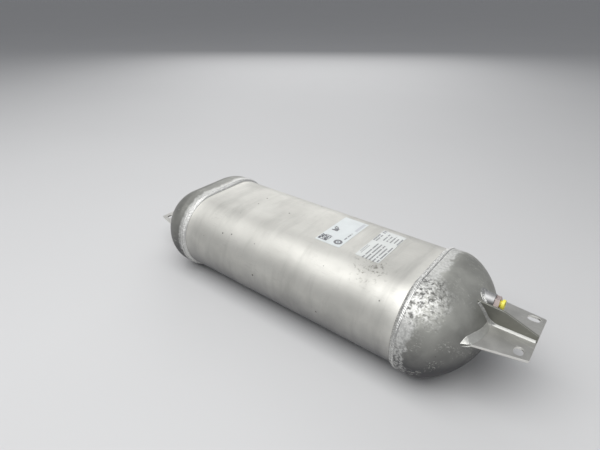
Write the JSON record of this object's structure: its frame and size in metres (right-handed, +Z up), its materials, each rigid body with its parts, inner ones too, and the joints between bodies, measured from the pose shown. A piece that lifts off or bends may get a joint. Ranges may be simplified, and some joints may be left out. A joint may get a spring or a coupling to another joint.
{
  "type": "compressed air reservoir tank",
  "caption": "Welded aluminium air reservoir of flattened-oval section with domed ends, a bolt-on bracket at each end, a push-in air port and two labels.",
  "frame": {"origin": "on the surface the tank rests on, under the middle of the tank", "axes": "+X along the tank towards the end with the air port, +Z up, +Y across the tank towards the side of the air port"},
  "size_m": [0.5384, 0.1672, 0.1122],
  "materials": {
    "extruded_aluminium": "satin as-extruded skin, handled and lightly speckled",
    "pressed_aluminium": "dull pressed sheet, darker than the shell, scuffed near the weld",
    "weld_bead": "rippled weld bead, grey with bright crests",
    "bracket_sheet": "satin sheet with bright sheared edges",
    "machined_aluminium": "bright turned surface",
    "plated_brass": "nickel-plated, satin",
    "bare_brass": "turned",
    "spring_steel": "stamped",
    "seal_rubber": "matt black",
    "natural_nylon": "moulded, natural colour",
    "yellow_plastic": "moulded, semi-gloss",
    "label_film": null
  },
  "bodies": {
    "tank": {"shell_tube": "extruded_aluminium", "front_dome": "pressed_aluminium", "rear_dome": "pressed_aluminium", "front_girth_weld": "weld_bead", "rear_girth_weld": "weld_bead", "front_bracket_plate": "bracket_sheet", "front_bracket_gusset": "bracket_sheet", "front_plate_weld": "weld_bead", "front_gusset_weld": "weld_bead", "rear_bracket_plate": "bracket_sheet", "rear_bracket_gusset": "bracket_sheet", "rear_plate_weld": "weld_bead", "rear_gusset_weld": "weld_bead", "port_boss": "machined_aluminium", "port_boss_weld": "weld_bead", "connector_body": "plated_brass", "seat_seal": "seal_rubber", "tube_seal": "seal_rubber", "support_washer": "natural_nylon", "grip_ring": "spring_steel", "retaining_sleeve": "bare_brass", "front_label": "label_film", "rear_label": "label_film"},
    "collar": {"release_collar": "yellow_plastic"}
  },
  "joints": [
    {"name": "collar_press", "type": "slide", "parent": "tank", "child": "collar", "axis": [-1, 0, 0], "range_m": [0, 0.0012], "stiffness_N_per_m": 2000}
  ]
}
